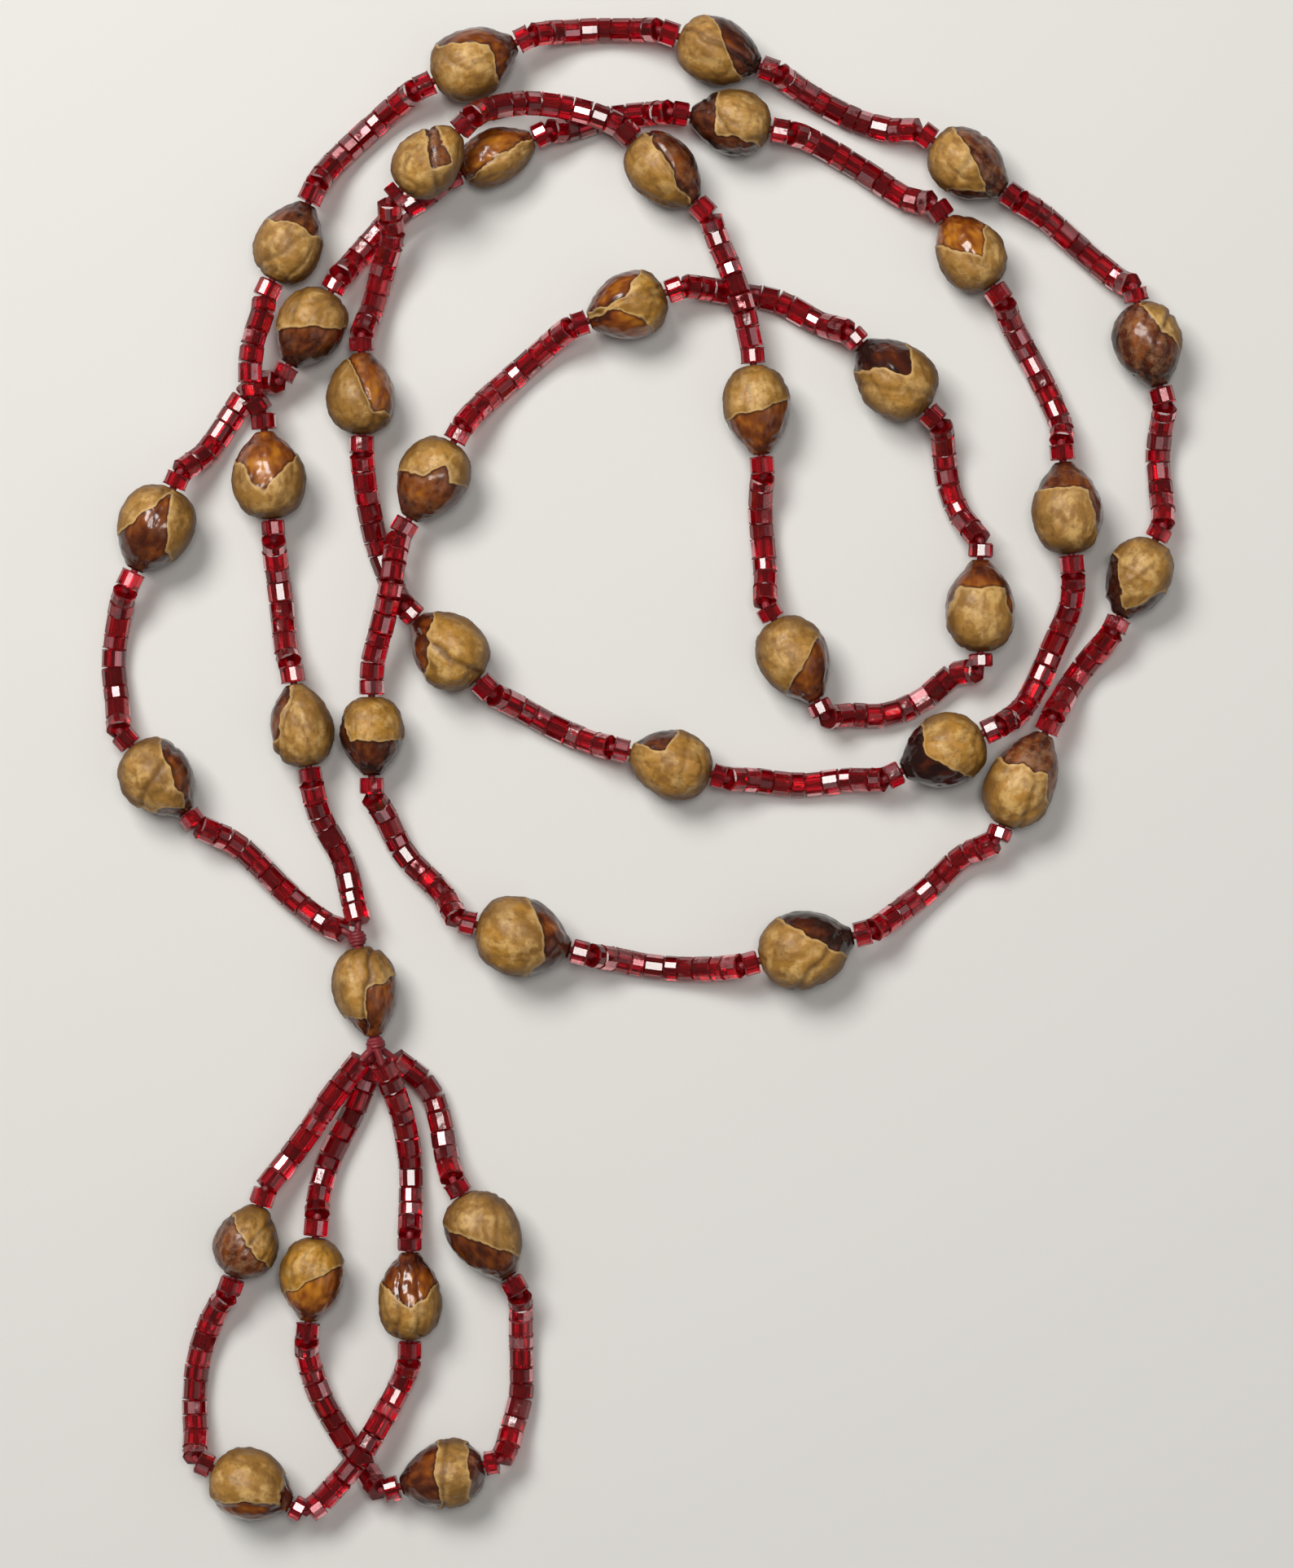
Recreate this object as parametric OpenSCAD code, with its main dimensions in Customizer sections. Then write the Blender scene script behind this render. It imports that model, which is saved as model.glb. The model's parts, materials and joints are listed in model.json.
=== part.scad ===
// A closed strand of juniper seeds and small cut glass beads. Both ends of the strand run into
// one connector seed, and two short bead loops hang below it. It lies flat, +Y along the strand's
// long way and +Z up, with the origin under the middle of the whole piece.

/* [Seeds] */
// Radius of the hole through each seed
seed_bore_r = 0.43; // [0.42:0.01:0.45]
// Radius of the flat round the hole at a seed's rounded base
seed_base_r = 0.9; // [0.7:0.1:1.2]
// Radius of a seed's pointed end
seed_tip_r = 0.7; // [0.6:0.05:0.9]
// Where along a seed it is thickest, as a share of its length from the base
seed_belly = 0.44; // [0.4:0.01:0.5]

/* [Glass beads] */
// Radius of a glass bead, over its six corners
bead_r = 1.1; // [0.8:0.05:1.1]
// Radius of the hole through a glass bead
bead_bore_r = 0.43; // [0.42:0.01:0.5]
// Length of thread that one bead takes up
bead_pitch = 1.6; // [1.5:0.05:2]
// Gap between two beads on a straight stretch
bead_gap = 0.12; // [0.1:0.01:0.2]

/* [Thread] */
// Radius of the doubled thread
thread_r = 0.35; // [0.3:0.01:0.36]
// Sides of the thread's tube
thread_sides = 8; // [8:1:12]
// Radius of the bundle of threads in the connector seed
bundle_r = 0.5; // [0.4:0.01:0.52]
// Radius of each knot
knot_r = 0.75; // [0.7:0.05:0.8]

/* [Lay] */
// Height of the strand's middle where it lies on the surface
strand_z = 1.2; // [1.2:0.05:1.4]
// Height of the strand's middle at the bend next to a seed, where it comes down from the seed's hole
slope_z = 1.9; // [1.6:0.1:2.4]

/* [Hidden] */
$fn = 32;
STEPS = 6;             // spline points between two route points
PROFILE_STEPS = 16;    // straight pieces in a seed's outline
SEED_END = 0.22;       // bare thread between a seed's end and the first bead
LEAD = 1.7;            // straight thread out of a seed's hole
KNOT_TO_SEED = 0.85;   // from the end of the connector seed to the middle of its knot
THREAD_START = 1.0;    // from a knot's middle to where a thread's own tube begins

// A seed lies at x, y. The strand runs through it towards heading, and rises by pitch.
// tip is 1 where the pointed end leads and -1 where it trails. lift raises a seed off the surface.
function seed_row(x, y, heading, tip, length, radius, lift = 0, pitch = 0) =
    [x, y, radius + lift, heading, pitch, tip, length, radius];

MAIN_SEEDS = [
    seed_row(-44.5, -1, 130, -1, 7.8, 3.5),
    seed_row(-45, 22, 65, -1, 8.2, 3.7),
    seed_row(-30.7, 40.5, 60, -1, 7.6, 3.4),
    seed_row(-13.5, 56.5, 25, 1, 7.2, 2.8),
    seed_row(8, 59.5, -10, -1, 7.4, 3.2),
    seed_row(30, 47.5, -55, -1, 7.4, 3.3),
    seed_row(39, 24, -85, -1, 8.4, 3.5),
    seed_row(27.5, 1.5, 205, 1, 8, 3.6),
    seed_row(2.5, 0.5, 165, 1, 7.6, 3.4),
    seed_row(-18, 11, 135, 1, 7.8, 3.6),
    seed_row(-25.9, 34.5, 90, 1, 7.4, 3.4),
    seed_row(-19.5, 55.5, 45, 1, 7.2, 3.2, 3.5, 8),
    seed_row(2, 55, -45, 1, 7.8, 3.3),
    seed_row(10.5, 33, -85, 1, 8.2, 3.3),
    seed_row(14, 10, -62, 1, 8.2, 3.5),
    seed_row(31, 15, 90, 1, 8.4, 3.5),
    seed_row(23, 36, 135, 1, 8.4, 3.7),
    seed_row(-1.5, 42.5, 200, 1, 7.4, 3.4),
    seed_row(-19.5, 26.5, 240, 1, 8, 3.5),
    seed_row(-25, 3, -90, 1, 7.2, 3.2),
    seed_row(-11, -15.5, -15, 1, 8.8, 3.9),
    seed_row(15, -16.5, 15, 1, 8.8, 3.8),
    seed_row(35, -1, 65, 1, 9.2, 3.4),
    seed_row(45.5, 17.5, 65, -1, 7.6, 3.2),
    seed_row(46.5, 39, 105, -1, 7.8, 3.4),
    seed_row(30, 55.5, 145, -1, 7.8, 3.3),
    seed_row(7, 66, 160, -1, 7.8, 3.3),
    seed_row(-15.5, 65, 205, -1, 8.2, 3.5),
    seed_row(-32.5, 48.5, 245, -1, 7.6, 3.3),
    seed_row(-34.5, 27, -85, -1, 8, 3.6),
    seed_row(-31.5, 4, -80, -1, 7.6, 3.1)
];
CONNECTOR = seed_row(-25.5, -20.5, -80, 1, 8.2, 3.2);
UPPER_SEEDS = [
    seed_row(-36.5, -43.5, 250, -1, 6.8, 3.2),
    seed_row(-36, -66, -25, 1, 7.8, 3.5),
    seed_row(-21.5, -48.5, 90, 1, 8, 3.1)
];
LOWER_SEEDS = [
    seed_row(-30.5, -47, 265, 1, 7.6, 3.2),
    seed_row(-18.5, -65, 15, -1, 7.8, 3.3),
    seed_row(-14.5, -43, 120, -1, 8.6, 3.5)
];

// The bends of each stretch of strand between two seeds, in order round the strand. A bend with
// no height of its own lies on the surface, or at slope_z where it is the first or the last of its
// stretch. The raised ones are where a stretch crosses another.
MAIN_BENDS = [
    [[-29.5, -14.2, 2], [-33, -11.5], [-37.5, -7]],
    [[-48.5, 5.5], [-49, 10], [-48.3, 14.5]],
    [[-40.5, 29], [-38.5, 32], [-36, 35.5, 1.2]],
    [[-27, 46.5], [-24.5, 49.5], [-22.5, 51.5], [-20, 53, 1.6]],
    [[-7, 59, 1.5], [-4, 60], [0, 60.5, 1.2]],
    [[15.5, 58], [20, 55.5], [24.5, 52.5]],
    [[34, 41], [36.5, 36.5], [38.5, 32]],
    [[39.5, 15], [38, 11.5], [36.5, 8], [35, 5.5, 1.6]],
    [[19, -1], [14.5, -1.5], [10, -1]],
    [[-5, 2.5], [-8.5, 4], [-12, 6]],
    [[-23, 16.5, 1.2], [-24.5, 20.3], [-25.5, 25]],
    [[-25, 42.5], [-24, 46, 2.6], [-23, 49, 4]],
    [[-14.5, 60.2, 6], [-11.5, 61, 4.8], [-8.5, 61, 3.9], [-5, 60.3, 3.6]],
    [[6.8, 48.8, 2.6], [8, 46, 3.2], [9, 43, 3.6], [9.6, 40.6, 3.5]],
    [[10.8, 25], [11, 21.5], [11.3, 17.7]],
    [[18.5, 5], [22.5, 5], [26, 6.5], [29, 9]],
    [[29.5, 23], [28.3, 26], [27.7, 29.7]],
    [[16.5, 41], [12.5, 43.2], [8, 44, 1.2]],
    [[-8.5, 39.3], [-11.5, 36.7], [-14.5, 34]],
    [[-22.8, 19.5, 4.3], [-23.2, 16.5, 5], [-24, 13, 4.4], [-24.8, 10.3, 3.5]],
    [[-24, -4], [-22, -8], [-18.5, -11.5]],
    [[-3, -17.5], [1, -18.3], [5.5, -18.5]],
    [[23.5, -13.3], [26.5, -11], [29.5, -8]],
    [[38.8, 6.6, 2], [40.2, 8.7], [41.7, 10.6]],
    [[47.9, 24.8], [47.6, 28.5], [47.8, 31.5]],
    [[44, 45], [40.5, 48], [37, 51]],
    [[22.5, 59], [18.5, 60.5], [14, 63]],
    [[-0.5, 68.2], [-4, 68.3], [-7.8, 68]],
    [[-22.5, 61.5], [-26, 58.5], [-29, 55.5]],
    [[-35, 42, 3.5], [-36, 38.5, 4.1], [-36, 34.5, 4]],
    [[-34, 19.5], [-33.5, 15.5], [-33, 11]],
    [[-29.8, -4.5], [-27.8, -8.3, 1.4], [-26.8, -12, 2.4]]
];
UPPER_BENDS = [
    [[-28.5, -30, 3.4], [-30.5, -33, 2.6], [-32.7, -36, 2.2]],
    [[-39.5, -50], [-41, -54], [-41.5, -58], [-41.3, -61.8]],
    [[-29.3, -67, 3.1], [-27, -64.5, 3.6], [-25, -61.5, 3.5], [-22.5, -57, 2.2]],
    [[-21.5, -41], [-21.5, -37], [-22, -33, 2], [-23, -29.5, 3.4]]
];
LOWER_BENDS = [
    [[-25.8, -29, 1.2], [-27, -32], [-29, -36], [-30, -39.5]],
    [[-31, -54.3], [-30, -57.7], [-28.2, -61], [-25.8, -64.6, 1.2]],
    [[-12.3, -61.5], [-11.3, -58], [-11.3, -54], [-11.3, -50.3]],
    [[-18.2, -35.7], [-18.8, -32.5], [-20, -29.3, 1.2]]
];

MAIN_RUNS = len(MAIN_BENDS);
RUNS_IN_A_NODE = 2;
BEAD_NODES = MAIN_RUNS / RUNS_IN_A_NODE;
LOOP_SEEDS = 3;

function two_digits(n) = str(n < 10 ? "0" : "", n);
function seed_name(n) = str("seed_", two_digits(n));
function beads_name(n) = str("glass_beads_", two_digits(n));

function unit(v) = v / norm(v);
function last(list) = list[len(list) - 1];
function towards(heading, pitch) = [cos(heading) * cos(pitch), sin(heading) * cos(pitch), sin(pitch)];

function seed_middle(seed) = [seed[0], seed[1], seed[2]];
function seed_way(seed) = towards(seed[3], seed[4]);
function seed_end(seed, side, beyond) =
    seed_middle(seed) + side * (seed[6] / 2 + SEED_END + beyond) * seed_way(seed);

// The knots' middles, above and below the connector seed
TOP_KNOT = seed_end(CONNECTOR, -1, KNOT_TO_SEED - SEED_END);
LOW_KNOT = seed_end(CONNECTOR, 1, KNOT_TO_SEED - SEED_END);
function from_knot(knot, heading, pitch, far) = knot + far * towards(heading, pitch);

// A strand is [bare thread before its first bead, its seeds, its bends, bare thread at its end]
MAIN = [
    [from_knot(TOP_KNOT, 150, -5, THREAD_START), from_knot(TOP_KNOT, 150, -8, 1.5)],
    MAIN_SEEDS,
    MAIN_BENDS,
    [from_knot(TOP_KNOT, 85, 0, 1.5), from_knot(TOP_KNOT, 85, 0, THREAD_START)]
];
UPPER = [
    [from_knot(LOW_KNOT, 228, 35, THREAD_START), from_knot(LOW_KNOT, 228, 25, 2)],
    UPPER_SEEDS,
    UPPER_BENDS,
    [from_knot(LOW_KNOT, -70, 28, 2), from_knot(LOW_KNOT, -70, 40, THREAD_START)]
];
LOWER = [
    [from_knot(LOW_KNOT, 255, -35, THREAD_START), from_knot(LOW_KNOT, 255, -38, 2)],
    LOWER_SEEDS,
    LOWER_BENDS,
    [from_knot(LOW_KNOT, -40, -25, 2.4), from_knot(LOW_KNOT, -40, -20, THREAD_START)]
];

// One stretch between two seeds, as the points that its curve passes through
function laid(bends, i) = let (beside = i == 0 || i == len(bends) - 1)
    len(bends[i]) > 2 ? bends[i] : [bends[i][0], bends[i][1], beside ? slope_z : strand_z];
function stretch(strand, k) = concat(
    k == 0 ? [last(strand[0])] : [for (b = [0, LEAD]) seed_end(strand[1][k - 1], 1, b)],
    [for (i = [0 : len(strand[2][k]) - 1]) laid(strand[2][k], i)],
    k == len(strand[1]) ? [strand[3][0]] : [for (b = [LEAD, 0]) seed_end(strand[1][k], -1, b)]
);

// A smooth curve through points, with its length up to each
function smooth(a, b, c, d, t) =
    ((2 * b) + (c - a) * t + (2 * a - 5 * b + 4 * c - d) * t * t
    + (3 * b - a - 3 * c + d) * t * t * t) / 2;
function curve(p) = let (q = concat([2 * p[0] - p[1]], p, [2 * last(p) - p[len(p) - 2]])) concat(
    [for (i = [1 : len(p) - 1], s = [0 : STEPS - 1]) smooth(q[i - 1], q[i], q[i + 1], q[i + 2], s / STEPS)],
    [last(p)]
);
function lengths(p, i = 1, sum = 0) =
    i == len(p) ? [sum] : concat([sum], lengths(p, i + 1, sum + norm(p[i] - p[i - 1])));
function along(p, far, s, axis) = lookup(s, [for (i = [0 : len(p) - 1]) [far[i], p[i][axis]]]);
function at(p, far, s) = [along(p, far, s, 0), along(p, far, s, 1), max(strand_z, along(p, far, s, 2))];

// How far one place between two beads is moved along, in beads, as no two beads are equally long
function uneven(i, k, beads) = i == 0 || i == beads ? 0 : 0.11 * sin(135 * i + 50 * k);

// The places along a stretch where one bead ends and the next begins
function stations(strand, k) =
    let (
        p = curve(stretch(strand, k)),
        far = lengths(p),
        beads = round(last(far) / bead_pitch)
    )
    [for (i = [0 : beads]) at(p, far, last(far) * (i + uneven(i, k, beads)) / beads)];

function thread_points(strand) = concat(
    [strand[0][0]],
    [for (k = [0 : len(strand[1])]) each stations(strand, k)],
    [last(strand[3])]
);

// The half turn between two straight pieces that meet at q, as its tangent
function half_turn(p, q, r) = let (cosine = unit(q - p) * unit(r - q)) sqrt(max(0, 1 - cosine) / (1 + cosine));

module placed(middle, way) {
    translate(middle) rotate([0, 90 - asin(way[2]), atan2(way[1], way[0])]) children();
}

module tube(points) {
    last_i = len(points) - 1;
    ways = [for (i = [0 : last_i]) unit(points[min(i + 1, last_i)] - points[max(i - 1, 0)])];
    rings = [
        for (i = [0 : last_i])
            let (side = unit(cross([0, 0, 1], ways[i])), up = cross(ways[i], side))
                for (s = [0 : thread_sides - 1])
                    points[i] + thread_r * (cos(360 * s / thread_sides) * side + sin(360 * s / thread_sides) * up)
    ];
    walls = [
        for (i = [0 : last_i - 1], s = [0 : thread_sides - 1])
            let (n = (s + 1) % thread_sides, a = i * thread_sides, b = a + thread_sides)
                each [[a + s, b + s, a + n], [a + n, b + s, b + n]]
    ];
    ends = [
        [for (s = [0 : thread_sides - 1]) s],
        [for (s = [thread_sides - 1 : -1 : 0]) last_i * thread_sides + s]
    ];
    polyhedron(points = rings, faces = concat(walls, ends), convexity = 10);
}

// One cut glass bead: six flat sides and a round hole
module glass_bead(length, turn) {
    color("crimson") rotate([0, 0, turn]) difference() {
        cylinder(r = bead_r, h = length, center = true, $fn = 6);
        cylinder(r = bead_bore_r, h = length + 1, center = true);
    }
}

module beads_on(strand, k) {
    p = stations(strand, k);
    last_i = len(p) - 1;
    for (i = [0 : last_i - 1]) {
        way = unit(p[i + 1] - p[i]);
        before = i == 0 ? 0 : half_turn(p[i - 1], p[i], p[i + 1]);
        after = i == last_i - 1 ? 0 : half_turn(p[i], p[i + 1], p[i + 2]);
        full = norm(p[i + 1] - p[i]) - bead_gap;
        placed(
            (p[i] + p[i + 1] + bead_r * (before - after) * way) / 2,
            way
        ) glass_bead(full - bead_r * (before + after), 37 * i + 23 * k);
    }
}

// The half outline of a seed: a rounded base that draws in to a pointed end, and the hole inside
function swell(share, end_r, radius, power, root) = end_r + (radius - end_r) * pow(1 - pow(share, power), 1 / root);
function outline(length, radius) = concat(
    [[seed_bore_r, -length / 2]],
    [
        for (i = [0 : PROFILE_STEPS])
            let (
                u = (1 - cos(180 * i / PROFILE_STEPS)) / 2,
                r = u < seed_belly
                    ? swell((seed_belly - u) / seed_belly, seed_base_r, radius, 2.1, 2)
                    : swell((u - seed_belly) / (1 - seed_belly), seed_tip_r, radius, 1.9, 1.4)
            )
                [r, length * (u - 1 / 2)]
    ],
    [[seed_bore_r, length / 2]]
);

module seed(row, bore_r = seed_bore_r) {
    length = row[6];
    color("peru") placed(seed_middle(row), row[5] * seed_way(row)) difference() {
        rotate_extrude() polygon(outline(length, row[7]));
        cylinder(r = bore_r, h = length + 1, center = true);
    }
}

module main_thread() color("ivory") tube(thread_points(MAIN));
module lower_loop_thread() color("ivory") tube(thread_points(LOWER));
module upper_loop_thread() color("ivory") tube(thread_points(UPPER));

// The threads inside the connector seed, with a knot at each end of its hole
module knot_thread() {
    color("ivory") {
        placed((TOP_KNOT + LOW_KNOT) / 2, seed_way(CONNECTOR))
            cylinder(r = bundle_r, h = norm(LOW_KNOT - TOP_KNOT), center = true);
        for (knot = [TOP_KNOT, LOW_KNOT]) translate(knot) sphere(r = knot_r);
    }
}

CONNECTOR_BORE_R = bundle_r + 0.08;
module connector_seed() seed(CONNECTOR, CONNECTOR_BORE_R);

main_thread();
knot_thread();
connector_seed();
for (n = [1 : len(MAIN_SEEDS)])
    seed(MAIN_SEEDS[n - 1]);
for (n = [1 : BEAD_NODES])
    for (k = [0 : RUNS_IN_A_NODE - 1]) beads_on(MAIN, (n - 1) * RUNS_IN_A_NODE + k);
lower_loop_thread();
for (k = [0 : LOOP_SEEDS]) beads_on(LOWER, k);  // lower_loop_beads
for (n = [1 : LOOP_SEEDS])
    seed(LOWER_SEEDS[n - 1]);
upper_loop_thread();
for (k = [0 : LOOP_SEEDS]) beads_on(UPPER, k);  // upper_loop_beads
for (n = [1 : LOOP_SEEDS])
    seed(UPPER_SEEDS[n - 1]);
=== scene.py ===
# %% [markdown]
# # A rosary of juniper seeds and glass beads
# The piece is a closed strand of drilled juniper seeds with stretches of short ruby glass beads
# between them. Both ends of the strand run into one connector seed, and two short bead loops
# hang below it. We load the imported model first, because every piece here takes its place from it.

# %% Load the frame
import json
import math

import bmesh
import bpy
import numpy as np
from mathutils import Matrix, Vector, noise


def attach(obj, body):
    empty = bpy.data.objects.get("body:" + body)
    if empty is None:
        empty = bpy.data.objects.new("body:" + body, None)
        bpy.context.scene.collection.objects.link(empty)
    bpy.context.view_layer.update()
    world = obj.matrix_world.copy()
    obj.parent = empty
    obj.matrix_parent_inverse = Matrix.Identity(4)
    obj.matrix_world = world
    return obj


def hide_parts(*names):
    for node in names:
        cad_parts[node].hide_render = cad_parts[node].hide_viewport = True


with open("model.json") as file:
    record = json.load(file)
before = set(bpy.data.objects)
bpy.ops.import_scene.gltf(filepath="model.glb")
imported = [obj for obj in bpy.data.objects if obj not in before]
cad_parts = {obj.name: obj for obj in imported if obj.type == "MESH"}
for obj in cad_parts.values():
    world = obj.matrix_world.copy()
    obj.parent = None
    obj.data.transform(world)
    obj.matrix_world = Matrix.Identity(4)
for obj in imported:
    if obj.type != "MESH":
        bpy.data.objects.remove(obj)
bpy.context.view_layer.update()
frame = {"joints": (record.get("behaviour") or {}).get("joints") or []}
joints = {joint["child"]: joint for joint in frame["joints"]}

# %% [markdown]
# ## The lay of the strand
# A strand is a list of seeds and, between each two, the bends that its thread takes. These are
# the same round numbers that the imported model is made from, in millimetres. A bend with no height
# of its own lies on the surface, or a little above it next to a seed. We keep them as plain
# tables, so that the thread and the glass beads are laid along one curve and always agree.

# %% The bends of each stretch, in millimetres
MM = 0.001
STRAND_Z = 1.2
SLOPE_Z = 1.9

MAIN_BENDS = [
    [[-29.5, -14.2, 2], [-33, -11.5], [-37.5, -7]],
    [[-48.5, 5.5], [-49, 10], [-48.3, 14.5]],
    [[-40.5, 29], [-38.5, 32], [-36, 35.5, 1.2]],
    [[-27, 46.5], [-24.5, 49.5], [-22.5, 51.5], [-20, 53, 1.6]],
    [[-7, 59, 1.5], [-4, 60], [0, 60.5, 1.2]],
    [[15.5, 58], [20, 55.5], [24.5, 52.5]],
    [[34, 41], [36.5, 36.5], [38.5, 32]],
    [[39.5, 15], [38, 11.5], [36.5, 8], [35, 5.5, 1.6]],
    [[19, -1], [14.5, -1.5], [10, -1]],
    [[-5, 2.5], [-8.5, 4], [-12, 6]],
    [[-23, 16.5, 1.2], [-24.5, 20.3], [-25.5, 25]],
    [[-25, 42.5], [-24, 46, 2.6], [-23, 49, 4]],
    [[-14.5, 60.2, 6], [-11.5, 61, 4.8], [-8.5, 61, 3.9], [-5, 60.3, 3.6]],
    [[6.8, 48.8, 2.6], [8, 46, 3.2], [9, 43, 3.6], [9.6, 40.6, 3.5]],
    [[10.8, 25], [11, 21.5], [11.3, 17.7]],
    [[18.5, 5], [22.5, 5], [26, 6.5], [29, 9]],
    [[29.5, 23], [28.3, 26], [27.7, 29.7]],
    [[16.5, 41], [12.5, 43.2], [8, 44, 1.2]],
    [[-8.5, 39.3], [-11.5, 36.7], [-14.5, 34]],
    [[-22.8, 19.5, 4.3], [-23.2, 16.5, 5], [-24, 13, 4.4], [-24.8, 10.3, 3.5]],
    [[-24, -4], [-22, -8], [-18.5, -11.5]],
    [[-3, -17.5], [1, -18.3], [5.5, -18.5]],
    [[23.5, -13.3], [26.5, -11], [29.5, -8]],
    [[38.8, 6.6, 2], [40.2, 8.7], [41.7, 10.6]],
    [[47.9, 24.8], [47.6, 28.5], [47.8, 31.5]],
    [[44, 45], [40.5, 48], [37, 51]],
    [[22.5, 59], [18.5, 60.5], [14, 63]],
    [[-0.5, 68.2], [-4, 68.3], [-7.8, 68]],
    [[-22.5, 61.5], [-26, 58.5], [-29, 55.5]],
    [[-35, 42, 3.5], [-36, 38.5, 4.1], [-36, 34.5, 4]],
    [[-34, 19.5], [-33.5, 15.5], [-33, 11]],
    [[-29.8, -4.5], [-27.8, -8.3, 1.4], [-26.8, -12, 2.4]],
]
UPPER_BENDS = [
    [[-28.5, -30, 3.4], [-30.5, -33, 2.6], [-32.7, -36, 2.2]],
    [[-39.5, -50], [-41, -54], [-41.5, -58], [-41.3, -61.8]],
    [[-29.3, -67, 3.1], [-27, -64.5, 3.6], [-25, -61.5, 3.5], [-22.5, -57, 2.2]],
    [[-21.5, -41], [-21.5, -37], [-22, -33, 2], [-23, -29.5, 3.4]],
]
LOWER_BENDS = [
    [[-25.8, -29, 1.2], [-27, -32], [-29, -36], [-30, -39.5]],
    [[-31, -54.3], [-30, -57.7], [-28.2, -61], [-25.8, -64.6, 1.2]],
    [[-12.3, -61.5], [-11.3, -58], [-11.3, -54], [-11.3, -50.3]],
    [[-18.2, -35.7], [-18.8, -32.5], [-20, -29.3, 1.2]],
]
print("stretches", len(MAIN_BENDS), len(UPPER_BENDS), len(LOWER_BENDS))

# %% [markdown]
# ## The seeds' places
# Every seed turns on the thread, so its joint already says where the middle of its hole is and
# which way the hole runs. Only its length, its thickness and which end is the pointed one are
# listed here, in millimetres: a tip of 1 leads along the strand and -1 trails.

# %% Seeds: tip, length, radius
SEED_SIZES = {
    "seed_01": (-1, 7.8, 3.5), "seed_02": (-1, 8.2, 3.7), "seed_03": (-1, 7.6, 3.4),
    "seed_04": (1, 7.2, 2.8), "seed_05": (-1, 7.4, 3.2), "seed_06": (-1, 7.4, 3.3),
    "seed_07": (-1, 8.4, 3.5), "seed_08": (1, 8, 3.6), "seed_09": (1, 7.6, 3.4),
    "seed_10": (1, 7.8, 3.6), "seed_11": (1, 7.4, 3.4), "seed_12": (1, 7.2, 3.2),
    "seed_13": (1, 7.8, 3.3), "seed_14": (1, 8.2, 3.3), "seed_15": (1, 8.2, 3.5),
    "seed_16": (1, 8.4, 3.5), "seed_17": (1, 8.4, 3.7), "seed_18": (1, 7.4, 3.4),
    "seed_19": (1, 8, 3.5), "seed_20": (1, 7.2, 3.2), "seed_21": (1, 8.8, 3.9),
    "seed_22": (1, 8.8, 3.8), "seed_23": (1, 9.2, 3.4), "seed_24": (-1, 7.6, 3.2),
    "seed_25": (-1, 7.8, 3.4), "seed_26": (-1, 7.8, 3.3), "seed_27": (-1, 7.8, 3.3),
    "seed_28": (-1, 8.2, 3.5), "seed_29": (-1, 7.6, 3.3), "seed_30": (-1, 8, 3.6),
    "seed_31": (-1, 7.6, 3.1), "connector_seed": (1, 8.2, 3.2),
    "upper_loop_seed_1": (-1, 6.8, 3.2), "upper_loop_seed_2": (1, 7.8, 3.5),
    "upper_loop_seed_3": (1, 8, 3.1), "lower_loop_seed_1": (1, 7.6, 3.2),
    "lower_loop_seed_2": (-1, 7.8, 3.3), "lower_loop_seed_3": (-1, 8.6, 3.5),
}


def seed_place(name):
    """The middle of a seed's hole and the way the strand runs through it."""
    joint = joints[name]
    return Vector(joint["pos_m"]), Vector(joint["axis"]).normalized()


MAIN_SEEDS = [f"seed_{n:02d}" for n in range(1, len(MAIN_BENDS))]
UPPER_SEEDS = [f"upper_loop_seed_{n}" for n in (1, 2, 3)]
LOWER_SEEDS = [f"lower_loop_seed_{n}" for n in (1, 2, 3)]
print("seeds", len(SEED_SIZES))

# %% [markdown]
# ## The curve of a strand
# The thread leaves each seed straight out of its hole and then follows its bends. A
# Catmull-Rom curve passes through every point it is given, which suits a list of places that the
# thread is known to pass. Walking along it by length then gives the places between the beads.

# %% Curve helpers
SEED_END = 0.22 * MM
LEAD = 1.7 * MM
BEAD_PITCH = 1.6 * MM
KNOT_TO_SEED = 0.85 * MM
CURVE_STEPS = 6
UNEVENNESS = 0.11  # in beads


def towards(heading, pitch):
    h, p = math.radians(heading), math.radians(pitch)
    return Vector((math.cos(h) * math.cos(p), math.sin(h) * math.cos(p), math.sin(p)))


def seed_end(name, side, beyond):
    middle, way = seed_place(name)
    return middle + way * side * (SEED_SIZES[name][1] * MM / 2 + SEED_END + beyond)


TOP_KNOT = seed_end("connector_seed", -1, KNOT_TO_SEED - SEED_END)
LOW_KNOT = seed_end("connector_seed", 1, KNOT_TO_SEED - SEED_END)


def curve_points(points):
    """A Catmull-Rom curve through the points."""
    ends = [2 * points[0] - points[1], *points, 2 * points[-1] - points[-2]]
    out = []
    for a, b, c, d in zip(ends, ends[1:], ends[2:], ends[3:]):
        for step in range(CURVE_STEPS):
            t = step / CURVE_STEPS
            bend = (2 * a - 5 * b + 4 * c - d) * t * t + (3 * b - a - 3 * c + d) * t ** 3
            out.append((2 * b + (c - a) * t + bend) / 2)
    return out + [points[-1]]


def uneven(i, k, beads):
    """How far one place between two beads is moved along, in beads."""
    return 0 if i in (0, beads) else UNEVENNESS * math.sin(math.radians(135 * i + 50 * k))


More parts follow.
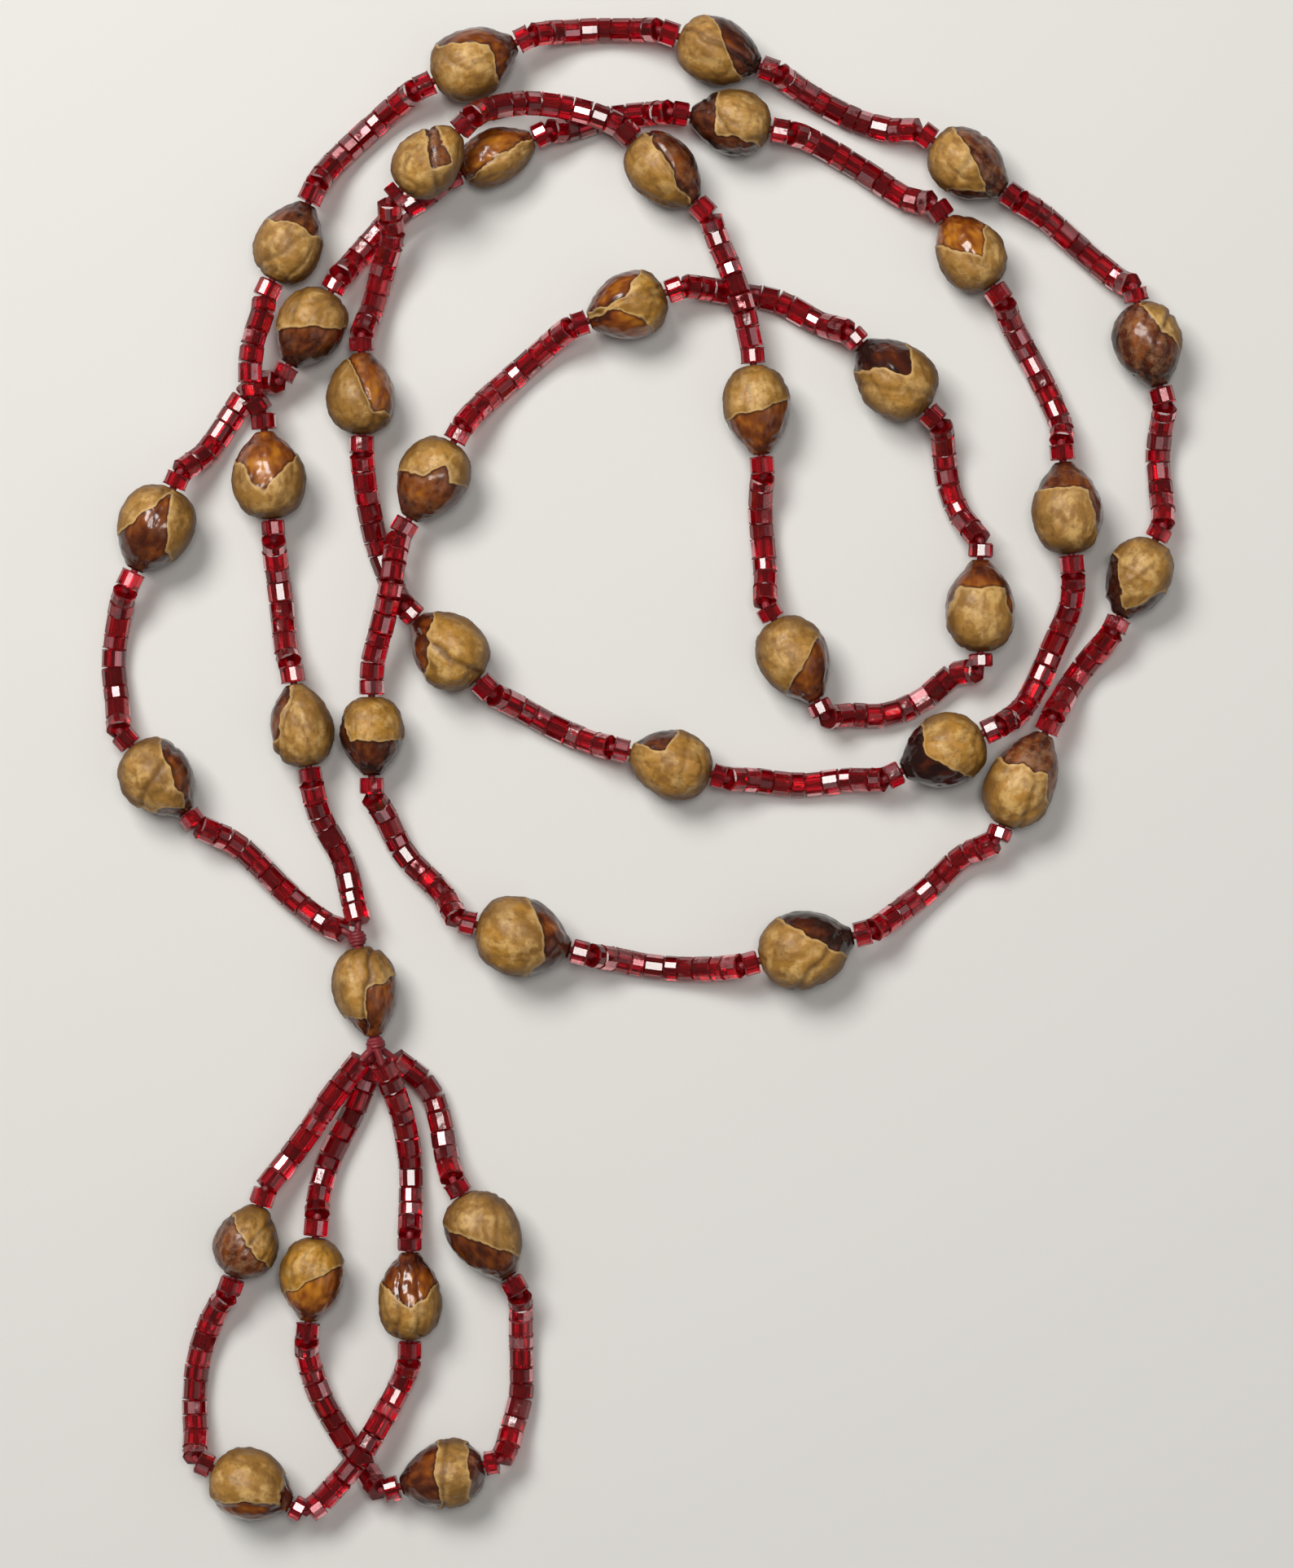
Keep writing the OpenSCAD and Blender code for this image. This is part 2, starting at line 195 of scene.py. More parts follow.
def stations(strand, k):
    """The places along a stretch where one bead ends and the next begins."""
    start, seeds, bends, end = strand
    first = [start[-1]] if k == 0 else [seed_end(seeds[k - 1], 1, b) for b in (0, LEAD)]
    last = [end[0]] if k == len(seeds) else [seed_end(seeds[k], -1, b) for b in (LEAD, 0)]
    heights = [SLOPE_Z] + [STRAND_Z] * (len(bends[k]) - 2) + [SLOPE_Z]
    laid = [Vector((*bend, z)[:3]) * MM for bend, z in zip(bends[k], heights)]
    line = np.array(curve_points(first + laid + last))
    far = np.concatenate([[0], np.cumsum(np.linalg.norm(np.diff(line, axis=0), axis=1))])
    beads = math.floor(far[-1] / BEAD_PITCH + 0.5)
    stops = [far[-1] * (i + uneven(i, k, beads)) / beads for i in range(beads + 1)]
    places = [Vector([float(np.interp(s, far, line[:, axis])) for axis in range(3)]) for s in stops]
    for place in places:
        place.z = max(place.z, STRAND_Z * MM)
    return places


def from_knot(knot, heading, pitch, far):
    return knot + towards(heading, pitch) * far * MM


MAIN = (
    [from_knot(TOP_KNOT, 150, -5, 1), from_knot(TOP_KNOT, 150, -8, 1.5)],
    MAIN_SEEDS, MAIN_BENDS,
    [from_knot(TOP_KNOT, 85, 0, 1.5), from_knot(TOP_KNOT, 85, 0, 1)],
)
UPPER = (
    [from_knot(LOW_KNOT, 228, 35, 1), from_knot(LOW_KNOT, 228, 25, 2)],
    UPPER_SEEDS, UPPER_BENDS,
    [from_knot(LOW_KNOT, -70, 28, 2), from_knot(LOW_KNOT, -70, 40, 1)],
)
LOWER = (
    [from_knot(LOW_KNOT, 255, -35, 1), from_knot(LOW_KNOT, 255, -38, 2)],
    LOWER_SEEDS, LOWER_BENDS,
    [from_knot(LOW_KNOT, -40, -25, 2.4), from_knot(LOW_KNOT, -40, -20, 1)],
)
print("beads in the first stretch", len(stations(MAIN, 0)) - 1)

# %% [markdown]
# ## The camera
# The piece is seen from straight above, so that its whole outline shows. A long lens from well
# above keeps the seeds at the edges from leaning outwards.

# %% Camera
VIEW_WIDTH = 0.1191
VIEW_MIDDLE = Vector((0.0003, -0.0014, 0.003))
CAMERA_HEIGHT = 0.42

camera_data = bpy.data.cameras.new("camera_above")
camera_data.sensor_fit = "HORIZONTAL"
camera_data.sensor_width = 36
camera_data.lens = 36 * CAMERA_HEIGHT / VIEW_WIDTH
camera_data.clip_start = 0.01
camera = bpy.data.objects.new("camera_above", camera_data)
camera.location = VIEW_MIDDLE + Vector((0, 0, CAMERA_HEIGHT))
bpy.context.collection.objects.link(camera)
bpy.context.scene.camera = camera
print("lens", round(camera_data.lens, 1))

# %% [markdown]
# ## Shader maths as Python
# A node tree is easier to read as an expression. This small class wraps one output socket, so
# that `mask * 0.5 + 0.2` adds its own Math nodes. Colours go through Mix and vectors through
# Vector Math, because a Math node would turn a colour grey.

# %% Socket wrapper


class Socket:
    """One output of a node tree, with Python's operators."""

    def __init__(self, tree, out):
        self.tree, self.out = tree, out

    def node(self, kind, settings=None, **inputs):
        """Adds a node of a type, sets its settings and fills its inputs."""
        made = self.tree.nodes.new(kind)
        settings = dict(settings or {})
        stops = settings.pop("stops", None)
        for key, value in settings.items():
            setattr(made, key, value)
        if stops:
            ramp = made.color_ramp
            while len(ramp.elements) < len(stops):
                ramp.elements.new(0.5)
            for element, (place, colour) in zip(ramp.elements, stops):
                element.position, element.color = place, (*colour, 1)
        for key, value in inputs.items():
            name = key.replace("_", " ")
            by_number = key[0] == "i" and key[1:].isdigit()
            self.fill(made.inputs[int(key[1:]) if by_number else name], value)
        return made

    def fill(self, target, value):
        if isinstance(value, Socket):
            self.tree.links.new(value.out, target)
        elif isinstance(value, (tuple, list)) and target.type == "RGBA" and len(value) == 3:
            target.default_value = (*value, 1)
        else:
            target.default_value = value

    def get(self, kind, output, settings=None, **inputs):
        return Socket(self.tree, self.node(kind, settings, **inputs).outputs[output])

    def maths(self, operation, a, b):
        return self.get("ShaderNodeMath", 0, {"operation": operation}, i0=a, i1=b)

    def __add__(self, other): return self.maths("ADD", self, other)
    def __radd__(self, other): return self.maths("ADD", other, self)
    def __sub__(self, other): return self.maths("SUBTRACT", self, other)
    def __rsub__(self, other): return self.maths("SUBTRACT", other, self)
    def __mul__(self, other): return self.maths("MULTIPLY", self, other)
    def __rmul__(self, other): return self.maths("MULTIPLY", other, self)

    def step(self, low, high):
        """0 below low, 1 above high, smooth between them."""
        return self.get(
            "ShaderNodeMapRange", 0, {"interpolation_type": "SMOOTHSTEP"},
            Value=self, From_Min=low, From_Max=high,
        )

    def mix(self, first, second):
        """A colour between two, with this value as the share of the second."""
        made = self.tree.nodes.new("ShaderNodeMix")
        made.data_type = "RGBA"
        colours = [s for s in made.inputs if s.type == "RGBA"]
        self.fill(made.inputs[0], self)
        self.fill(colours[0], first)
        self.fill(colours[1], second)
        return Socket(self.tree, next(s for s in made.outputs if s.type == "RGBA"))


class Finish:
    """A new material, with its shader and the sources that its patterns read."""

    def __init__(self, name):
        self.material = bpy.data.materials.new(name)
        self.material.use_nodes = True
        self.tree = self.material.node_tree
        self.shader = self.tree.nodes["Principled BSDF"]
        self.any = Socket(self.tree, None)
        self.place = self.any.get("ShaderNodeTexCoord", "Object")

    def attribute(self, name):
        return self.any.get("ShaderNodeAttribute", "Fac", {"attribute_name": name})

    def noise(self, scale, detail=3.0, rough=0.55):
        return self.any.get(
            "ShaderNodeTexNoise", 0, None,
            Vector=self.place, Scale=scale, Detail=detail, Roughness=rough,
        )

    def set(self, **inputs):
        for key, value in inputs.items():
            self.any.fill(self.shader.inputs[key.replace("_", " ")], value)

    def bump(self, height, distance, strength=1.0):
        self.set(Normal=self.any.get(
            "ShaderNodeBump", 0, None, Height=height, Distance=distance, Strength=strength))


print("shader helpers ready")

# %% [markdown]
# ## The thread's finish
# Fine strands wind round the doubled nylon thread, which a wave pattern along its length stands
# for. Its colour is painted: a deep red inside the beads, as painted red light from the ruby
# glass, in blotches of paler and deeper red. At the knots it shows bare, and is painted a little
# lighter red, as a painted reflection of the glass.

# %% Thread material


def thread_finish(name, paler_red, deeper_red):
    made = Finish(name)
    strands = made.any.get(
        "ShaderNodeTexWave", 1, {"bands_direction": "DIAGONAL"},
        Vector=made.place, Scale=900.0, Distortion=2.0, Detail=1.0,
    )
    red_blotches = made.noise(350.0)
    made.set(
        Base_Color=red_blotches.step(0.3, 0.6).mix(paler_red, deeper_red),
        Roughness=strands * 0.2 + 0.5,
        Sheen_Weight=0.05,
    )
    made.bump(strands, 0.00004, 0.6)
    return made.material


# Both threads are painted red: the strand's as the glass's red light, the knots' as its reflection
KNOT_THREAD = thread_finish("knot_thread_nylon", (0.28, 0.018, 0.028), (0.15, 0.004, 0.010))
STRAND_THREAD = thread_finish("strand_thread_nylon", (0.26, 0.008, 0.018), (0.14, 0.003, 0.008))
print(KNOT_THREAD.name, STRAND_THREAD.name)

# %% [markdown]
# ## The threads
# Each thread is a curve with a round bevel, laid through every place between two beads, so it
# runs down the middle of each bead and through each seed's hole. It is one continuous length of
# something limp, and its length is printed.

# %% Thread pieces
THREAD_R = 0.35 * MM


def thread_path(strand, knot):
    """The points of a thread, from its knot round the strand and back to it."""
    start, seeds, _, end = strand
    places = [p for k in range(len(seeds) + 1) for p in stations(strand, k)]
    return [knot, start[0], *places, end[1], knot]


def path_length(points):
    return sum((b - a).length for a, b in zip(points, points[1:]))


def lay_thread(name, points, body, node):
    data = bpy.data.curves.new(name, "CURVE")
    data.dimensions = "3D"
    data.bevel_depth = THREAD_R
    data.bevel_resolution = 1
    data.use_fill_caps = True
    spline = data.splines.new("POLY")
    spline.points.add(len(points) - 1)
    for point, place in zip(spline.points, points):
        point.co = (*place, 1)
    data.materials.append(STRAND_THREAD)
    piece = bpy.data.objects.new(name, data)
    bpy.context.collection.objects.link(piece)
    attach(piece, body)
    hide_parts(node)
    length = path_length(points)
    print(name, "length", round(length, 3), "m")
    return piece


lay_thread("strand_thread", thread_path(MAIN, TOP_KNOT), "strand", "main_thread")
lay_thread("lower_thread", thread_path(LOWER, LOW_KNOT), "lower_loop", "lower_loop_thread")
lay_thread("upper_thread", thread_path(UPPER, LOW_KNOT), "upper_loop", "upper_loop_thread")

# %% [markdown]
# ## The knots
# The ends of all three threads pass through the connector seed and are knotted at each end of
# its hole. A knot this small reads as a few turns wound over a core, so each one is a stack of
# rings of thread over a rounded core, and the bundle between them is a plain cord.

# %% Knot thread
KNOT_R = 0.95 * MM
BUNDLE_R = 0.5 * MM
KNOT_TURNS = 4
KNOT_CORE = 0.8  # this and the next three are shares of the knot's radius
TURNS_REACH = 0.62
TURNS_SPREAD = 0.72
TURN_THICKNESS = 0.24


def wound_mesh(middle, way):
    """A rounded core with turns of thread over it."""
    bm = bmesh.new()
    bmesh.ops.create_uvsphere(bm, u_segments=24, v_segments=16, radius=KNOT_R * KNOT_CORE)
    for turn in range(KNOT_TURNS):
        share = (turn + 0.5) / KNOT_TURNS * 2 - 1
        lift = share * KNOT_R * TURNS_REACH
        ring_r = math.sqrt(max(0, (KNOT_R * TURNS_SPREAD) ** 2 - lift ** 2))
        section = bmesh.ops.create_circle(bm, segments=8, radius=KNOT_R * TURN_THICKNESS)["verts"]
        upright = Matrix.Rotation(math.pi / 2, 3, "X")
        bmesh.ops.rotate(bm, verts=section, cent=(0, 0, 0), matrix=upright)
        bmesh.ops.translate(bm, verts=section, vec=(ring_r, 0, lift))
        edges = list({edge for vert in section for edge in vert.link_edges})
        bmesh.ops.spin(
            bm, geom=section + edges, cent=(0, 0, 0), axis=(0, 0, 1), angle=2 * math.pi,
            steps=24, use_merge=True,
        )
    bmesh.ops.remove_doubles(bm, verts=bm.verts, dist=KNOT_R * 0.001)
    bmesh.ops.recalc_face_normals(bm, faces=bm.faces)
    turn_to_way = way.to_track_quat("Z", "Y").to_matrix().to_4x4()
    bmesh.ops.transform(bm, verts=bm.verts, matrix=Matrix.Translation(middle) @ turn_to_way)
    return bm


def knot_piece():
    _, way = seed_place("connector_seed")
    mesh = bpy.data.meshes.new("connector_knots")
    whole = bmesh.new()
    for knot in (TOP_KNOT, LOW_KNOT):
        part = wound_mesh(knot, way)
        copy = bpy.data.meshes.new("knot_part")
        part.to_mesh(copy)
        part.free()
        whole.from_mesh(copy)
        bpy.data.meshes.remove(copy)
    length = (LOW_KNOT - TOP_KNOT).length
    turn_to_way = way.to_track_quat("Z", "Y").to_matrix().to_4x4()
    place = Matrix.Translation((LOW_KNOT + TOP_KNOT) / 2) @ turn_to_way
    bmesh.ops.create_cone(
        whole, cap_ends=True, segments=16,
        radius1=BUNDLE_R, radius2=BUNDLE_R, depth=length, matrix=place,
    )
    for face in whole.faces:
        face.smooth = True
    whole.to_mesh(mesh)
    whole.free()
    mesh.materials.append(KNOT_THREAD)
    piece = bpy.data.objects.new("connector_knots", mesh)
    bpy.context.collection.objects.link(piece)
    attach(piece, "pendant")
    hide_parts("knot_thread")
    print("knots", len(mesh.polygons), "faces")
    return piece


knot_piece()

# %% [markdown]
# ## The seed shell's finish
# A juniper seed has two skins. The lower part keeps a dull, tan, finely wrinkled coat, and the
# pointed end is bare glossy shell, from gold to dark mahogany. They meet along a ragged line with
# a pale lip. Each seed carries its own measure of how far a point is inside the bare shell, so
# one material serves them all, and its noise makes the line ragged. Painted light lies over both
# skins: painted shade towards the underside and in the folds and creases, and a painted highlight
# on the upper side.

# %% Seed material


def seed_finish():
    made = Finish("seed_shell_and_coat")
    inside = made.attribute("shell_inside")
    tone = made.attribute("shell_tone")
    gold = made.attribute("coat_gold")
    grey = made.attribute("shell_grey")
    crease_shade = made.attribute("shell_crease_shade")
    streak = made.attribute("shell_streak")
    painted_top_light = made.attribute("shell_painted_top_light")
    ragged = made.noise(1700.0, 4.0, 0.7)
    line = inside + (ragged - 0.5) * 0.035
    bare = line.step(-0.012, 0.012)

    # The coat: broad clouds of tan, long darker fibres, fine dark grain, pale blotches on top as a
    # painted highlight, and painted shade below
    cloud = made.noise(330.0, 3.0)
    grain = made.noise(2600.0, 5.0, 0.65)
    coat = gold.mix((0.35, 0.182, 0.044), (0.42, 0.200, 0.018))
    coat = (cloud.step(0.40, 0.66) * 0.8).mix(coat, (0.22, 0.108, 0.022))
    # Painted highlight: pale blotches, kept to the upper side of the seed
    pale = painted_top_light * made.noise(700.0, 3.0).step(0.44, 0.66) * 0.8
    coat = pale.mix(coat, (0.56, 0.350, 0.122))
    coat = (streak.step(0.02, 0.55) * 0.5).mix(coat, (0.17, 0.075, 0.014))
    coat = (grain.step(0.50, 0.70) * 0.5).mix(coat, (0.13, 0.055, 0.012))
    # Painted shade: the coat darkens towards its underside
    coat = ((1 - painted_top_light) * 0.85).mix(coat, (0.095, 0.038, 0.006))
    # Painted shade in the folds and creases
    coat = (crease_shade * 0.9).mix(coat, (0.06, 0.022, 0.006))

    # The bare shell: gold, chestnut, then dark mahogany, mottled along its length, and deepened by
    # painted shade below and in the creases
    mottle = made.noise(260.0, 2.0, 0.4)
    # Painted shade: the shell is deeper towards its underside and in the creases
    depth = tone + (mottle - 0.5) * 0.55 + streak * 0.3 + crease_shade * 0.3 + (1 - painted_top_light) * 0.35
    shell = made.any.get(
        "ShaderNodeValToRGB", 0,
        {"stops": [
            (0.0, (0.44, 0.165, 0.012)), (0.35, (0.19, 0.047, 0.005)),
            (0.65, (0.068, 0.012, 0.003)), (1.0, (0.014, 0.003, 0.002)),
        ]},
        Fac=depth,
    )
    dull = made.noise(1100.0, 5.0, 0.7).step(0.42, 0.66) * grey
    # Dull grey patches, made stronger on the upper side as a painted sheen
    shell = (dull * (painted_top_light * 0.6 + 0.4)).mix(shell, (0.25, 0.125, 0.060))

    # The lip of the coat is pale, and a thin dark line of painted shade runs just inside it, at the
    # foot of the step
    lip = line.step(-0.10, -0.03) * (1 - line.step(-0.02, 0.004))
    coat = (lip * 0.45).mix(coat, (0.60, 0.40, 0.17))
    shade = line.step(-0.01, 0.01) * (1 - line.step(0.02, 0.09))
    shell = (shade * 0.7).mix(shell, (0.03, 0.009, 0.004))

    made.set(
        Base_Color=bare.mix(coat, shell),
        Roughness=bare * (grey * 0.2 - 0.30) + grain * 0.12 + 0.44,
        Coat_Weight=bare * (1 - grey * 0.6) * 0.35 + 0.04,
        Coat_Roughness=0.14,
        Specular_IOR_Level=0.32,
    )
    creases = made.noise(1300.0, 4.0, 0.6)
    height = (grain * 0.35 + creases * 0.65) * (1 - bare * 0.75) - bare * 0.25
    made.bump(height, 0.00008, 0.7)
    return made.material


SEED = seed_finish()
print(SEED.name)

# %% [markdown]
# ## What each seed looks like
# No two seeds are alike, so each has a short description. A flat cut is a direction, as an angle
# seen from above, and how far out from the middle it lies, in seed radii. A patch of bare shell is
# where a point is beyond all the cuts in its list, and a seed may have several patches. A crease
# is a line across the seed that sinks in, or stands up where its depth is negative.

# %% Seed descriptions
# name: (patches of bare shell, tone of the shell, gold of the coat, grey of the shell, creases)
LOOKS = {
    "seed_01": ([[(20, 0.44)], [(-85, 0.85)]], 0.55, 0.3, 0.4, [(-30, -0.05, 0.35)]),
    "seed_02": ([[(178, -0.45), (-51, -0.40)]], 0.5, 0.35, 0.15, [(165, -0.1, 0.2)]),
    "seed_03": ([[(-90, 0.05)]], 0.55, 0.3, 0.25, [(170, 0.4, 0.2)]),
    "seed_04": ([[(125, -0.2)]], 0.25, 0.2, 0.15, [(125, -0.2, 0.3)]),
    "seed_05": ([[(178, 0.42)], [(-100, 0.6)]], 0.55, 0.1, 0.2, [(-150, 0.25, 0.3)]),
    "seed_06": ([[(70, -0.16), (175, -0.38)]], 0.18, 0.15, 0.0, []),
    "seed_07": ([[(90, 0.5)], [(10, 0.64)]], 0.45, 0.1, 0.3, []),
    "seed_08": ([[(246, 0.34)], [(183, 0.56)]], 0.95, 0.6, 0.0, [(60, 0.2, 0.1)]),
    "seed_09": ([[(150, 0.3), (75, 0.3)]], 0.65, 0.4, 0.2, [(-10, 0.35, 0.15)]),
    "seed_10": ([[(170, 0.52)]], 0.38, 0.6, 0.0, [(56, -0.12, 0.45)]),
    "seed_11": ([[(27, 0.15), (80, -0.45)]], 0.28, 0.35, 0.45, [(27, 0.15, 0.25)]),
    "seed_12": ([[(15, 0.06), (203, -0.56), (112, -0.38)]], 0.5, 0.35, 0.8, [(10, 0.12, 0.4)]),
    "seed_13": ([[(31, 0.11)]], 0.5, 0.4, 0.45, [(31, 0.14, 0.35)]),
    "seed_14": ([[(-70, 0.05)]], 0.35, 0.3, 0.15, []),
    "seed_15": ([[(-30, 0.25)]], 0.38, 0.3, 0.0, []),
    "seed_16": ([[(90, 0.46)], [(15, 0.74)], [(158, 0.76)]], 0.3, 0.2, 0.15, []),
    "seed_17": ([[(85, 0.08), (185, -0.4)]], 0.8, 0.4, 0.0, [(80, -0.4, 0.25)]),
    "seed_18": ([[(150, 0.16), (108, 0.20)], [(238, 0.22), (284, 0.12)]], 0.30, 0.9, 0.0,
                [(112, 0.14, 0.25), (290, 0.10, 0.25)]),
    "seed_19": ([[(-105, 0.02)], [(-60, -0.12), (180, -0.5)]], 0.42, 0.4, 0.4, []),
    "seed_20": ([[(-90, 0.15)], [(200, 0.6)]], 0.7, 0.9, 0.1, []),
    "seed_21": ([[(0, 0.48)], [(42, 0.72)], [(-45, 0.72)]], 0.5, 0.5, 0.05, []),
    "seed_22": ([[(58, 0.32)]], 0.78, 0.45, 0.1, [(-40, 0.45, 0.3)]),
    "seed_23": ([[(72, 0.34)], [(2, 0.66)]], 0.4, 0.5, 0.9, [(-15, 0.25, 0.3)]),
    "seed_24": ([[(190, 0.6)], [(-65, 0.75)]], 0.65, 0.3, 0.2, [(55, 0.1, -0.3), (125, 0.15, -0.3)]),
    "seed_25": ([[(220, -0.5)]], 0.55, 0.3, 0.75, [(-30, 0.1, 0.4)]),
    "seed_26": ([[(26, 0.08)], [(-95, 0.84)]], 0.55, 0.3, 0.6, [(150, 0.1, 0.25)]),
    "seed_27": ([[(25, 0.2)]], 0.62, 0.2, 0.1, [(60, 0.0, 0.4)]),
    "seed_28": ([[(90, 0.42)], [(12, 0.56)]], 0.42, 0.3, 0.05, []),
    "seed_29": ([[(70, 0.42)]], 0.45, 0.2, 0.25, [(-60, 0.2, 0.2)]),
    "seed_30": ([[(44, -0.34), (141, -0.31)]], 0.25, 0.1, 0.2, []),
    "seed_31": ([[(163, 0.66)]], 0.42, 0.2, 0.3, [(165, 0.5, 0.35)]),
    "connector_seed": ([[(-5, 0.12), (-60, 0.0)], [(-90, 0.80)]], 0.36, 0.35, 0.1,
                       [(-5, 0.1, 0.5)]),
    "upper_loop_seed_1": ([[(215, -0.1)]], 0.45, 0.6, 0.85, [(-45, 0.1, 0.3)]),
    "upper_loop_seed_2": ([[(-90, 0.34)], [(-15, 0.82)]], 0.42, 0.4, 0.0, [(-90, 0.5, 0.2)]),
    "upper_loop_seed_3": ([[(52, -0.2), (136, -0.32)]], 0.32, 0.35, 0.0,
                          [(0, -0.35, 0.3), (0, 0.3, 0.3)]),
    "lower_loop_seed_1": ([[(-62, -0.02)]], 0.15, 1.0, 0.0, []),
    "lower_loop_seed_2": ([[(182, 0.1)], [(0, 0.78)]], 0.5, 0.3, 0.1, [(0, 0.12, 0.4)]),
    "lower_loop_seed_3": ([[(-112, 0.14)]], 0.42, 0.15, 0.05, [(0, -0.2, 0.2), (0, 0.35, 0.2)]),
}
print("descriptions", len(LOOKS), sorted(set(SEED_SIZES) ^ set(LOOKS)))

# %% [markdown]
# ## Turning a seed
# A seed is nearly round about its hole, so its outline is spun into a closed body with the hole
# already in it. The outline swells from a rounded base and draws in to a pointed end, with the
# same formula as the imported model, so the two agree.

# %% Seed body
SEED_BORE_R = 0.43 * MM
SEED_BASE_R = 0.9 * MM
SEED_TIP_R = 0.7 * MM
SEED_BELLY = 0.44
OUTLINE_STEPS = 56
SPIN_STEPS = 96


def swell(share, end_r, radius, power, root):
    return end_r + (radius - end_r) * (1 - share ** power) ** (1 / root)


def seed_radius(u, radius):
    """How thick a seed is at a share u of its length, from its base to its tip."""
    if u < SEED_BELLY:
        return swell((SEED_BELLY - u) / SEED_BELLY, SEED_BASE_R, radius, 2.1, 2)
    return swell((u - SEED_BELLY) / (1 - SEED_BELLY), SEED_TIP_R, radius, 1.9, 1.4)


def seed_body(length, radius, bore_r):
    bm = bmesh.new()
    line = [bm.verts.new((bore_r, 0, -length / 2))]
    for i in range(OUTLINE_STEPS + 1):
        u = (1 - math.cos(math.pi * i / OUTLINE_STEPS)) / 2
        line.append(bm.verts.new((seed_radius(u, radius), 0, length * (u - 0.5))))
    line.append(bm.verts.new((bore_r, 0, length / 2)))
    line += [bm.verts.new((bore_r, 0, length * share)) for share in (0.25, 0, -0.25)]
    edges = [bm.edges.new((a, b)) for a, b in zip(line, line[1:] + line[:1])]
    bmesh.ops.spin(
        bm, geom=line + edges, cent=(0, 0, 0), axis=(0, 0, 1), angle=2 * math.pi,
        steps=SPIN_STEPS, use_merge=True,
    )
    bmesh.ops.remove_doubles(bm, verts=bm.verts, dist=1e-7)
    bmesh.ops.recalc_face_normals(bm, faces=bm.faces)
    return bm


sample = seed_body(0.008, 0.0035, SEED_BORE_R)
print("seed body", len(sample.faces), "faces, volume", round(sample.calc_volume() * 1e9, 1), "mm3")
sample.free()

# %% [markdown]
# ## Shaping and marking a seed
# The turned body is then shaped in code: shallow lobes, low folds on the coat, the creases in its
# description, and a step down where the coat ends. The same pass writes how far inside the bare
# shell each point is and how streaked it is. It also writes how deep the point lies in a fold or
# crease, for painted shade, and how high it sits, for painted light that is lighter on top and
# shaded below, all for the material to read.

# %% Seed shaping
LIP = 0.10 * MM
LOBES = 0.30 * MM
WRINKLE = 0.30 * MM
CREASE = 1.2 * MM
CREASE_WIDTH = 0.075  # in seed radii
RAISED_MOST = 0.02 * MM
SUNK_MOST = 0.8 * MM


def noise_at(points, scale, seed):
    shift = Vector((seed * 3.7, seed * 1.9, seed * 5.3))
    return np.array([noise.noise(Vector(p) * scale + shift) for p in points])


def flat_cut(local, angle, far):
    turn = math.radians(angle)
    return local[:, 0] * math.cos(turn) + local[:, 1] * math.sin(turn) - far


def ease(value, low, high):
    t = np.clip((value - low) / (high - low), 0, 1)
    return t * t * (3 - 2 * t)


